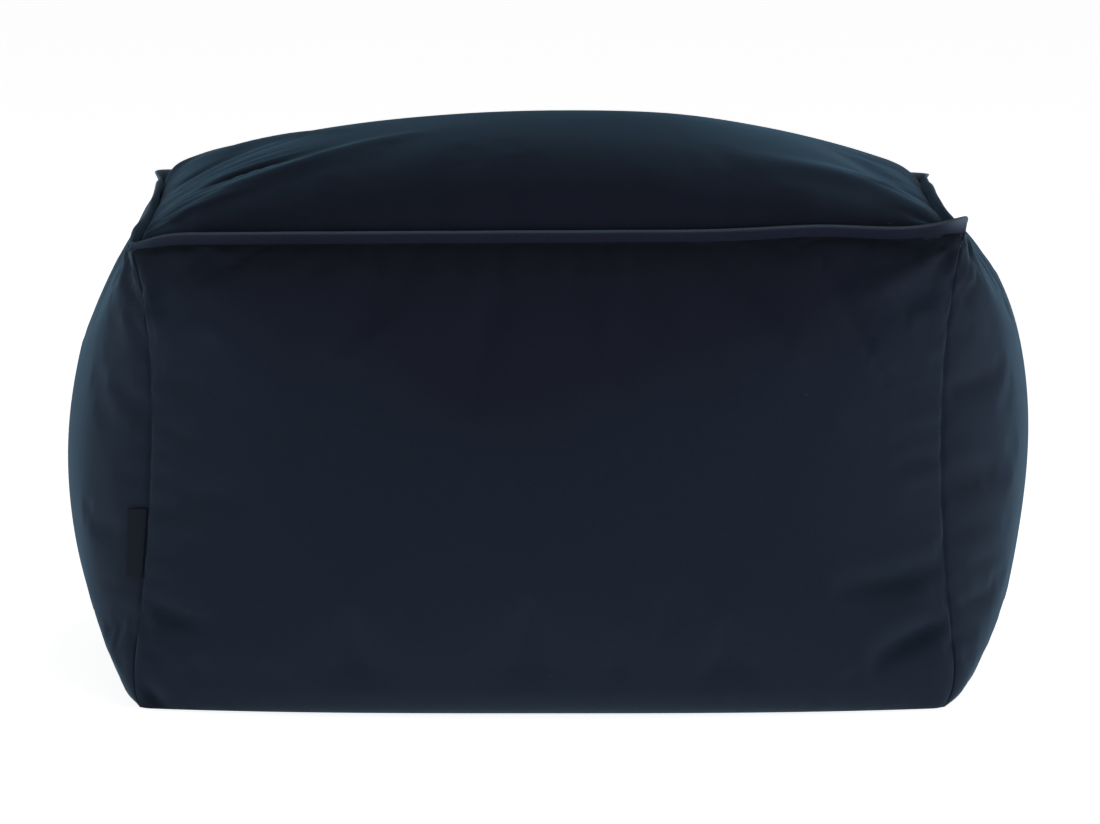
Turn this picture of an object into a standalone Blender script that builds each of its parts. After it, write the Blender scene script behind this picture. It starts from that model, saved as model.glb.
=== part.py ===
"""A rectangular velvet pouf: a stuffed body, a topstitched flange round its top seam and a bare side label.

The width runs along X, the front faces -Y, and the base lies flat on z = 0.
"""

import math

import bmesh
import bpy
from mathutils import Vector

# Stuffed body, in metres; the corners' reach is a part of half a side
half_width = 0.310
half_depth = 0.220
half_height = 0.175
crown_rise = 0.0750
crown_roundness = (2.0, 2.2)
crown_steepness = 0.52
wall_roundness = 2.2
wall_end_steepness = 0.7
level_roll_width = 0.0060
upright_roll_width = 0.0090
ledge_width = 0.0050
fold_fade = 0.008
fold_end_share = 0.35
draw_skew = 1.7
draw_bluntness = 0.7
heel_place = 0.084
corner_reach = 0.034
corner_fall = 3
edge_roundness = 3.0

# Flange and label, in metres
flange_height = 0.0094
flange_thickness = 0.0040
flange_lean = math.radians(12.0)
flange_foot_share = 0.7
flange_rounding = 0.0012
label_height = 0.052
label_width = 0.0066
label_thickness = 0.0016
label_gap = 0.0020
label_lift = 0.0010
label_middle = 0.124
piece_gap = 0.0006

# Rows of the body's grid along X, Y and Z. They crowd towards the seams, so that the row next to a seam
# lies one ledge width from it on every panel.
body_rows = (38, 28, 22)
half_sizes = (half_width, half_depth, half_height)
row_crowding = [math.log(ledge_width / half) / math.log(2.0 / rows)
                for half, rows in zip(half_sizes, body_rows)]

# Each corner's upright seam, by the side of the body along X and along Y. It is drawn in most above its
# middle, and swells into a rounded heel just above its foot.
seam_corners = {
    # side x, side y: (top, foot, how far drawn in, how far the heel swells)
    (-1, -1): (Vector((-0.3115, -0.220, 0.3495)), Vector((-0.3078, -0.220, 0.0010)), 0.0125, 0.0046),
    (1, -1): (Vector((0.3084, -0.220, 0.3525)), Vector((0.2958, -0.220, 0.0017)), 0.0115, 0.0070),
    (-1, 1): (Vector((-0.3160, 0.220, 0.3490)), Vector((-0.3080, 0.219, 0.0040)), 0.0120, 0.0050),
    (1, 1): (Vector((0.3030, 0.220, 0.3500)), Vector((0.2990, 0.219, 0.0040)), 0.0120, 0.0060),
}

# How each wall is stuffed: the bulge at its middle, how far its top and base edges bow out between the
# corners, how steeply the bulge leaves the level seams, how far above the middle it is fullest, and how
# deep the cloth rolls out of the seams
wall_shapes = {
    # axis and side: (bulge, top bow, base bow, steepness, peak, roll)
    ("y", -1): (0.0600, -0.0030, 0.0210, 0.800, 0.0000, 0.0030),
    ("y", 1): (0.0600, -0.0030, 0.0200, 0.800, 0.0000, 0.0030),
    ("x", -1): (0.0675, -0.0040, 0.0035, 0.973, 0.0260, 0.0070),
    ("x", 1): (0.0744, -0.0060, 0.0045, 0.784, 0.1280, 0.0070),
}

# Places where the sewing or the stuffing lifts or lowers the whole surface a little
pulls = [
    # place, reach, lift
    (Vector((-0.3115, -0.2200, 0.3500)), 0.022, -0.0030),
    (Vector((0.3084, -0.2200, 0.3530)), 0.035, 0.0060),
    (Vector((0.2000, -0.2200, 0.3520)), 0.050, 0.0035),
    (Vector((-0.1100, 0.0000, 0.4200)), 0.070, -0.0021),
    (Vector((0.1000, 0.0000, 0.4250)), 0.070, 0.0034),
    (Vector((-0.2800, 0.1000, 0.3750)), 0.045, 0.0058),
    (Vector((-0.3020, 0.1000, 0.3660)), 0.020, 0.0060),
    (Vector((0.2850, 0.0800, 0.3700)), 0.030, 0.0044),
    (Vector((0.2350, 0.0500, 0.3850)), 0.035, -0.0013),
]

# Main folds of each panel: soft ridges and troughs along a line that may bend midway.
# Places are (x, y) on the top, (x, z) on the front and back and (y, z) on the sides.
folds = [
    # panel, start, middle, end, half width, height
    ("top", (-0.264, -0.128), (-0.225, -0.108), (-0.170, -0.085), 0.012, -0.0030),
    ("top", (-0.268, -0.158), (-0.190, -0.122), (-0.108, -0.070), 0.014, 0.0040),
    ("top", (-0.290, -0.174), (-0.215, -0.146), (-0.142, -0.112), 0.014, 0.0025),
    ("top", (-0.296, -0.030), (-0.276, -0.005), (-0.240, 0.020), 0.016, -0.0045),
    ("top", (-0.285, 0.070), (-0.235, 0.050), (-0.170, 0.010), 0.018, 0.0035),
    ("top", (0.298, -0.205), (0.250, -0.140), (0.160, -0.128), 0.022, 0.0055),
    ("top", (0.290, -0.090), (0.262, -0.050), (0.235, 0.010), 0.032, -0.0090),
    ("top", (0.262, -0.196), (0.282, -0.192), (0.294, -0.188), 0.012, -0.0035),
    ("top", (-0.290, 0.195), (-0.230, 0.160), (-0.160, 0.135), 0.018, 0.0040),
    ("top", (0.285, 0.195), (0.225, 0.165), (0.150, 0.140), 0.018, 0.0040),
    ("front", (-0.290, 0.335), (-0.190, 0.290), (-0.050, 0.262), 0.026, 0.0040),
    ("front", (0.296, 0.338), (0.240, 0.316), (0.080, 0.262), 0.020, 0.0045),
    ("front", (-0.120, 0.332), (0.050, 0.318), (0.220, 0.334), 0.030, -0.0060),
    ("front", (0.297, 0.342), (0.270, 0.330), (0.232, 0.314), 0.009, 0.0040),
    ("front", (0.292, 0.320), (0.274, 0.310), (0.252, 0.303), 0.011, -0.0062),
    ("front", (-0.300, 0.316), (-0.292, 0.308), (-0.284, 0.298), 0.011, -0.0045),
    ("front", (0.298, 0.106), (0.262, 0.101), (0.221, 0.098), 0.010, -0.0050),
    ("front", (0.298, 0.124), (0.262, 0.119), (0.225, 0.114), 0.012, 0.0022),
    ("front", (0.298, 0.067), (0.276, 0.059), (0.245, 0.047), 0.011, -0.0068),
    ("front", (0.296, 0.086), (0.268, 0.077), (0.238, 0.066), 0.012, 0.0026),
    ("front", (-0.303, 0.082), (-0.290, 0.078), (-0.266, 0.072), 0.009, -0.0042),
    ("front", (-0.302, 0.018), (-0.297, 0.010), (-0.290, 0.003), 0.007, -0.0055),
    ("back", (-0.290, 0.325), (-0.220, 0.290), (-0.120, 0.268), 0.024, 0.0040),
    ("back", (0.290, 0.325), (0.220, 0.290), (0.120, 0.268), 0.024, 0.0040),
    ("left", (-0.200, 0.330), (-0.160, 0.292), (-0.100, 0.262), 0.018, 0.0035),
    ("left", (0.200, 0.325), (0.160, 0.292), (0.100, 0.266), 0.020, 0.0035),
    ("right", (-0.200, 0.335), (-0.165, 0.300), (-0.110, 0.268), 0.018, 0.0040),
    ("right", (0.200, 0.325), (0.160, 0.292), (0.100, 0.266), 0.020, 0.0035),
]


def upright_seam(side_x, side_y, t):
    """A point of a corner seam, from its foot at t = 0 to its top at t = 1."""
    top, foot, draw, heel = seam_corners[(side_x, side_y)]
    inwards = draw * max(0.0, math.sin(math.pi * t ** draw_skew)) ** draw_bluntness
    inwards -= heel * t / heel_place * math.exp(1.0 - t / heel_place)
    return foot.lerp(top, t) - Vector((side_x * inwards, side_y * inwards, 0.0))


def corner_lift(place):
    """How much of a foot corner's height is left at a place from -1 to 1 along the base: 1 at the corner."""
    return max(0.0, (abs(place) - 1.0) / corner_reach + 1.0) ** corner_fall


def level_edge(axis, side, t, level):
    """A point of a wall's top edge (level 1) or base edge (level 0), from t = 0 to t = 1 along it."""
    outward = Vector((0.0, side, 0.0)) if axis == "y" else Vector((side, 0.0, 0.0))
    ends = [(-1, side), (1, side)] if axis == "y" else [(side, -1), (side, 1)]
    point = upright_seam(*ends[0], level).lerp(upright_seam(*ends[1], level), t)
    _, top_bow, base_bow, _, _, _ = wall_shapes[(axis, side)]
    point += outward * (puff(2.0 * t - 1.0, edge_roundness, 1.0) * (top_bow if level else base_bow))
    if not level:
        point.z *= corner_lift(2.0 * t - 1.0)
    return point


def taut_patch(low, high, near, far, a, b):
    """The taut cloth between four edges: low and high run along a, near and far run along b."""
    along_a = low(a).lerp(high(a), b)
    along_b = near(b).lerp(far(b), a)
    between_corners = low(0.0).lerp(low(1.0), a).lerp(high(0.0).lerp(high(1.0), a), b)
    return along_a + along_b - between_corners


def level_patch(u, v, level):
    """The taut cloth inside the top seam (level 1) or the base seam (level 0)."""
    return taut_patch(lambda q: level_edge("y", -1, q, level), lambda q: level_edge("y", 1, q, level),
                      lambda q: level_edge("x", -1, q, level), lambda q: level_edge("x", 1, q, level),
                      (u + 1.0) / 2.0, (v + 1.0) / 2.0)


def puff(place, roundness, steepness):
    """How far a stuffed panel has risen at a place from -1 to 1 across it: 0 on the seams, 1 midway."""
    return max(0.0, 1.0 - abs(place) ** roundness) ** steepness


def clear_of(distance, width):
    """How far the cloth has come clear of a seam at a distance from it: 0 in the seam, 1 well away."""
    return 1.0 - math.exp(-distance / width)


def distance_to_line(place, start, end):
    """The distance from a place on a panel to a straight line on it, and how far along the line that is."""
    line = (end[0] - start[0], end[1] - start[1])
    reach = (place[0] - start[0], place[1] - start[1])
    along = (line[0] * reach[0] + line[1] * reach[1]) / (line[0] ** 2 + line[1] ** 2)
    along = min(1.0, max(0.0, along))
    return math.hypot(reach[0] - along * line[0], reach[1] - along * line[1]), along


def fold_height(panel, place, to_seam):
    """The height of all of a panel's folds at a place on it, fading out into the seams."""
    height = 0.0
    for fold_panel, start, middle, end, reach, rise in folds:
        if fold_panel != panel:
            continue
        first, along_first = distance_to_line(place, start, middle)
        second, along_second = distance_to_line(place, middle, end)
        along = along_first / 2.0 if first < second else 0.5 + along_second / 2.0
        swell = fold_end_share + (1.0 - fold_end_share) * math.sin(math.pi * along)
        height += rise * swell * math.exp(-(min(first, second) / reach) ** 2)
    return height * clear_of(to_seam, fold_fade)


def wall_point(axis, side, across, w):
    """A point of a wall: across and w run from -1 to 1 along the wall and up it."""
    a = (across + 1.0) / 2.0
    t = (w + 1.0) / 2.0
    ends = [(-1, side), (1, side)] if axis == "y" else [(side, -1), (side, 1)]
    point = taut_patch(lambda q: level_edge(axis, side, q, 0), lambda q: level_edge(axis, side, q, 1),
                       lambda q: upright_seam(*ends[0], q), lambda q: upright_seam(*ends[1], q), a, t)
    outward = Vector((0.0, side, 0.0)) if axis == "y" else Vector((side, 0.0, 0.0))
    half_length = half_width if axis == "y" else half_depth
    to_upright = (1.0 - abs(across)) * half_length
    to_level = (1.0 - abs(w)) * half_height
    bulge, _, _, steepness, peak, roll = wall_shapes[(axis, side)]
    bulge *= puff(across, wall_roundness, wall_end_steepness) * puff(w - peak * (1.0 - w * w), 2.0, steepness)
    roll *= clear_of(to_upright, upright_roll_width) * clear_of(to_level, level_roll_width)
    if axis == "y":
        panel, place = ("front" if side < 0 else "back"), (point.x, point.z)
    else:
        panel, place = ("left" if side < 0 else "right"), (point.y, point.z)
    folded = fold_height(panel, place, min(to_upright, to_level))
    return point + outward * (bulge + roll + folded)


def top_point(u, v):
    """A point of the top panel: level on the ledge under the flange, then rising to the crown."""
    point = level_patch(u, v, 1)
    inside_x = min(1.0, abs(u) / (1.0 - ledge_width / half_width))
    inside_y = min(1.0, abs(v) / (1.0 - ledge_width / half_depth))
    to_ledge = min((1.0 - inside_x) * half_width, (1.0 - inside_y) * half_depth)
    crown = crown_rise * puff(inside_x, crown_roundness[0], crown_steepness)
    crown *= puff(inside_y, crown_roundness[1], crown_steepness)
    return point + Vector((0.0, 0.0, crown + fold_height("top", (point.x, point.y), to_ledge)))


def base_point(u, v):
    """A point of the base panel: flat on the floor, lifted at its four corners."""
    point = level_patch(u, v, 0)
    _, foot, _, _ = seam_corners[(-1 if u < 0.0 else 1, -1 if v < 0.0 else 1)]
    point.z = foot.z * corner_lift(u) * corner_lift(v)
    return point


def pulled(point):
    """The point after the small pulls on the cloth near it."""
    moved = point.copy()
    for place, reach, lift in pulls:
        moved.z += lift * math.exp(-((point - place).length / reach) ** 2)
    return moved


def crowded(place, axis):
    """Moves an even row from -1 to 1 along an axis towards the nearer seam."""
    return math.copysign(1.0 - (1.0 - min(1.0, abs(place))) ** row_crowding[axis], place)


def body_point(cube_point):
    """The place on the stuffed body of a point on the surface of a cube from -1 to 1."""
    u, v, w = (crowded(value, axis) for axis, value in enumerate(cube_point))
    if w >= 1.0:
        point = top_point(u, v)
    elif w <= -1.0:
        point = base_point(u, v)
    elif abs(v) >= 1.0:
        point = wall_point("y", round(v), u, w)
    else:
        point = wall_point("x", round(u), v, w)
    return pulled(point)


def cloth_material(name, colour, roughness):
    """A cloth material in one colour."""
    material = bpy.data.materials.new(name)
    material.use_nodes = True
    shader = material.node_tree.nodes["Principled BSDF"]
    shader.inputs["Base Color"].default_value = (*colour, 1.0)
    shader.inputs["Roughness"].default_value = roughness
    shader.inputs["Metallic"].default_value = 0.0
    return material


def linked_piece(name, shape, material, collection):
    """Turns a bmesh into an object of the pouf's collection."""
    mesh = bpy.data.meshes.new(name)
    shape.to_mesh(mesh)
    shape.free()
    mesh.materials.append(material)
    piece = bpy.data.objects.new(name, mesh)
    collection.objects.link(piece)
    return piece


def stuffed_body(collection):
    """The stuffed body: a gridded cube laid over the panels, with one flat face on the floor."""
    shape = bmesh.new()
    bmesh.ops.create_cube(shape, size=2.0)
    for axis, rows in enumerate(body_rows):
        along = [edge for edge in shape.edges
                 if abs(edge.verts[0].co[axis] - edge.verts[1].co[axis]) > 1.0]
        bmesh.ops.subdivide_edges(shape, edges=along, cuts=rows - 1, use_grid_fill=True)
    for vertex in shape.verts:
        vertex.co = body_point(vertex.co)
    flat = [face for face in shape.faces if all(vertex.co.z < 1e-6 for vertex in face.verts)]
    bmesh.ops.dissolve_faces(shape, faces=flat)
    body = linked_piece("stuffed_body", shape, cloth_material("navy_velvet", (0.012, 0.016, 0.030), 0.9),
                        collection)
    body.data.shade_smooth()
    return body


def flange_place(index):
    """The top seam's point and outward direction at a step of the flange, round from the front left."""
    rows_x, rows_y, _ = body_rows
    sides = [("y", -1, rows_x, False), ("x", 1, rows_y, False),
             ("y", 1, rows_x, True), ("x", -1, rows_y, True)]
    for axis, side, rows, backwards in sides:
        if index < rows:
            break
        index -= rows
    t = (crowded(2.0 * index / rows - 1.0, 0 if axis == "y" else 1) + 1.0) / 2.0
    point = level_edge(axis, side, 1.0 - t if backwards else t, 1)
    outward = Vector((0.0, side, 0.0)) if axis == "y" else Vector((side, 0.0, 0.0))
    if index == 0:
        outward = Vector((math.copysign(1.0, point.x), math.copysign(1.0, point.y), 0.0))
    return point, outward


def top_seam_flange(collection):
    """The flange: a leaning strip on the ledge all round the top seam, made from an open tube."""
    steps = 2 * (body_rows[0] + body_rows[1])
    shape = bmesh.new()
    bmesh.ops.create_cone(shape, cap_ends=False, segments=steps, radius1=1.0, radius2=1.0, depth=2.0)
    inset = ledge_width / 2.0
    lift = piece_gap + flange_thickness * flange_foot_share * math.sin(flange_lean)
    for vertex in shape.verts:
        turn = math.atan2(vertex.co.y, vertex.co.x) / (2.0 * math.pi)
        point, outward = flange_place(round(turn * steps) % steps)
        up = flange_height if vertex.co.z > 0.0 else 0.0
        lean = Vector((0.0, 0.0, math.cos(flange_lean))) + outward * math.sin(flange_lean)
        root = pulled(point - outward * inset)
        vertex.co = root + Vector((0.0, 0.0, lift)) + lean * up
    velvet = cloth_material("flange_velvet", (0.014, 0.018, 0.032), 0.9)
    flange = linked_piece("top_seam_flange", shape, velvet, collection)
    thick = flange.modifiers.new("thickness", "SOLIDIFY")
    thick.thickness = flange_thickness
    thick.offset = 0.0
    thick.use_even_offset = True
    rounded = flange.modifiers.new("rounding", "BEVEL")
    rounded.width = flange_rounding
    rounded.segments = 1
    rounded.limit_method = "ANGLE"
    rounded.angle_limit = math.radians(60.0)
    return flange


def side_label(collection):
    """The folded label: a bare strip sewn into the left front seam and lying along the left side."""
    columns = 4
    shape = bmesh.new()
    bmesh.ops.create_grid(shape, x_segments=columns, y_segments=5, size=0.5)
    for vertex in shape.verts:
        out = label_width * (vertex.co.x + 0.5)
        height = label_middle + vertex.co.y * label_height
        place = wall_point("x", -1, -1.0 + out / half_depth, height / half_height - 1.0)
        vertex.co = Vector((place.x - label_lift * out / label_width, place.y, height))
    shape.normal_update()
    outwards = [vertex.normal.copy() for vertex in shape.verts]
    for vertex, outward in zip(shape.verts, outwards):
        vertex.co += outward * math.copysign(label_gap, -outward.x)
    label = linked_piece("side_label", shape, cloth_material("label_satin", (0.010, 0.010, 0.011), 0.45),
                         collection)
    thick = label.modifiers.new("thickness", "SOLIDIFY")
    thick.thickness = label_thickness
    thick.offset = 0.0
    return label


def main():
    """Builds the pouf."""
    for item in list(bpy.data.objects):
        bpy.data.objects.remove(item)
    collection = bpy.data.collections.new("velvet_pouf")
    bpy.context.scene.collection.children.link(collection)
    stuffed_body(collection)
    top_seam_flange(collection)
    side_label(collection)


main()
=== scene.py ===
import math
from functools import partial

import bpy
import numpy as np
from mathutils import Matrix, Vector


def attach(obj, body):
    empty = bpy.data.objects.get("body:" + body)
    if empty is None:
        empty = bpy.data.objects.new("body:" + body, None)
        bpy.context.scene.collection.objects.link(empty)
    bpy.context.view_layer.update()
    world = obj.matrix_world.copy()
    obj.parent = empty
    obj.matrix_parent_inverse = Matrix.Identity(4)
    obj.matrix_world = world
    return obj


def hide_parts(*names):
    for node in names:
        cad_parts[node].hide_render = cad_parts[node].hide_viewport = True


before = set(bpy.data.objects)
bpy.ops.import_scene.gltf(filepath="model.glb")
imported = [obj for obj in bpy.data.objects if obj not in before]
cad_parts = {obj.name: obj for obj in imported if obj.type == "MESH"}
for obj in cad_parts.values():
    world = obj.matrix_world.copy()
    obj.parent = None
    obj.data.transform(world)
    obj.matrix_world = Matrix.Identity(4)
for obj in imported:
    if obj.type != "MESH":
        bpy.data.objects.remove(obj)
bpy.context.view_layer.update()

# Size and stuffing of the body, in metres
body = {
    "halfSizes": (0.310, 0.220, 0.175),
    "crownRise": 0.0750,
    "crownRoundness": (2.0, 2.2),  # along the width and the depth
    "crownSteepness": 0.52,
    "wallRoundness": (2.2, 2.0),  # across a wall and up it
    "wallSteepness": 0.7,  # across a wall
    "bowRoundness": 3.0,
    "drawSkew": 1.7,  # the upright seams are drawn in most above their middle
    "drawBluntness": 0.7,
    "heelPlace": 0.084,  # where up the seam the heel of a foot corner is fullest
    "cornerReach": 0.034,
    "ledge": 0.0050,  # the level strip under the flange
    "cadRows": (38, 28, 22),
    "simRows": (76, 56, 44),  # about 8 mm of cloth to a row
    "rollWidth": 0.0060,  # how soon the cloth has rolled out of a level seam
    "uprightRoll": 0.0090,  # and out of an upright seam
    "grooveDepth": 0.0012,  # the stitched groove itself
    "grooveWidth": 0.0018,
    "flangeShadeReach": 0.022,  # how far below the flange the painted shade reaches
    "footReach": 0.006,  # and how far above the floor the painted shade reaches
    "creaseDepth": 0.0028,  # how deep a crease is where its painted shade is full
    # how dark the painted shade in a crease gets
    "creaseShare": 0.35,
    "dulledAndShaded": ((-0.248, -0.035), 0.095, 0.80),  # crushed pile with painted shade: place on the top, reach, share
    "fill": 0.85,
}

# Each corner's upright seam, by side along X and Y: top, foot, drawn in, heel
seamCorners = {
    (-1, -1): ((-0.3115, -0.220, 0.3495), (-0.3078, -0.220, 0.0010), 0.0125, 0.0046),
    (1, -1): ((0.3084, -0.220, 0.3525), (0.2958, -0.220, 0.0017), 0.0115, 0.0070),
    (-1, 1): ((-0.3160, 0.220, 0.3490), (-0.3080, 0.219, 0.0040), 0.0120, 0.0050),
    (1, 1): ((0.3030, 0.220, 0.3500), (0.2990, 0.219, 0.0040), 0.0120, 0.0060),
}

# Each wall: bulge, top bow, base bow, steepness, how far up its fullest place is, roll
wallShapes = {
    ("y", -1): (0.060, -0.003, 0.021, 0.80, 0.00, 0.0030),
    ("y", 1): (0.060, -0.003, 0.020, 0.80, 0.00, 0.0030),
    ("x", -1): (0.0675, -0.004, 0.0035, 0.973, 0.026, 0.0070),
    ("x", 1): (0.0744, -0.006, 0.0045, 0.784, 0.128, 0.0070),
}

panelNames = {("y", -1): "front", ("y", 1): "back", ("x", -1): "left", ("x", 1): "right"}

# Where the sewing pulls the whole surface: place, reach, move in z
pulls = [
    ((-0.3115, -0.220, 0.350), 0.022, -0.0030),
    ((0.3084, -0.220, 0.353), 0.035, 0.0060),
    ((0.2000, -0.220, 0.352), 0.050, 0.0035),
    ((-0.1100, 0.0000, 0.420), 0.070, -0.0021),
    ((0.1000, 0.0000, 0.425), 0.070, 0.0034),
    ((-0.2800, 0.1000, 0.375), 0.045, 0.0058),
    ((-0.3020, 0.1000, 0.366), 0.020, 0.0060),
    ((0.2850, 0.0800, 0.370), 0.030, 0.0044),
    ((0.2350, 0.0500, 0.385), 0.035, -0.0013),
]

# Folds of each panel: start, middle, end, half width, height.
# Places are (x, y) on the top, (x, z) on the front and back, (y, z) on the sides.
folds = {
    "top": [
        ((-0.264, -0.128), (-0.225, -0.108), (-0.170, -0.085), 0.012, -0.0030),
        ((-0.268, -0.158), (-0.190, -0.122), (-0.108, -0.070), 0.014, 0.0040),
        ((-0.290, -0.174), (-0.215, -0.146), (-0.142, -0.112), 0.014, 0.0025),
        ((-0.296, -0.030), (-0.276, -0.005), (-0.240, 0.020), 0.016, -0.0045),
        ((-0.285, 0.070), (-0.235, 0.050), (-0.170, 0.010), 0.018, 0.0035),
        ((0.298, -0.205), (0.250, -0.140), (0.160, -0.128), 0.022, 0.0055),
        ((0.290, -0.090), (0.262, -0.050), (0.235, 0.010), 0.032, -0.0090),
        ((0.262, -0.196), (0.282, -0.192), (0.294, -0.188), 0.012, -0.0035),
        ((-0.290, 0.195), (-0.230, 0.160), (-0.160, 0.135), 0.018, 0.0040),
        ((0.285, 0.195), (0.225, 0.165), (0.150, 0.140), 0.018, 0.0040),
    ],
    "front": [
        ((-0.290, 0.335), (-0.190, 0.290), (-0.050, 0.262), 0.026, 0.0040),
        ((0.296, 0.338), (0.240, 0.316), (0.080, 0.262), 0.020, 0.0045),
        ((-0.120, 0.332), (0.050, 0.318), (0.220, 0.334), 0.030, -0.0060),
        ((0.2975, 0.342), (0.270, 0.330), (0.232, 0.314), 0.009, 0.0040),
        ((0.292, 0.320), (0.274, 0.310), (0.252, 0.303), 0.011, -0.0062),
        ((-0.300, 0.316), (-0.292, 0.308), (-0.284, 0.298), 0.011, -0.0045),
        ((0.298, 0.106), (0.262, 0.101), (0.221, 0.098), 0.010, -0.0050),
        ((0.298, 0.124), (0.262, 0.119), (0.225, 0.114), 0.012, 0.0022),
        ((0.298, 0.067), (0.276, 0.059), (0.245, 0.047), 0.009, -0.0062),
        ((0.296, 0.086), (0.268, 0.077), (0.238, 0.066), 0.012, 0.0026),
        ((-0.3034, 0.080), (-0.2865, 0.0745), (-0.264, 0.070), 0.0075, -0.0036),
        ((-0.302, 0.018), (-0.297, 0.010), (-0.290, 0.003), 0.007, -0.0055),
    ],
    "back": [
        ((-0.290, 0.325), (-0.220, 0.290), (-0.120, 0.268), 0.024, 0.0040),
        ((0.290, 0.325), (0.220, 0.290), (0.120, 0.268), 0.024, 0.0040),
    ],
    "left": [
        ((-0.200, 0.330), (-0.160, 0.292), (-0.100, 0.262), 0.018, 0.0035),
        ((0.200, 0.325), (0.160, 0.292), (0.100, 0.266), 0.020, 0.0035),
    ],
    "right": [
        ((-0.200, 0.335), (-0.165, 0.300), (-0.110, 0.268), 0.018, 0.0040),
        ((0.200, 0.325), (0.160, 0.292), (0.100, 0.266), 0.020, 0.0035),
    ],
}

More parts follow.
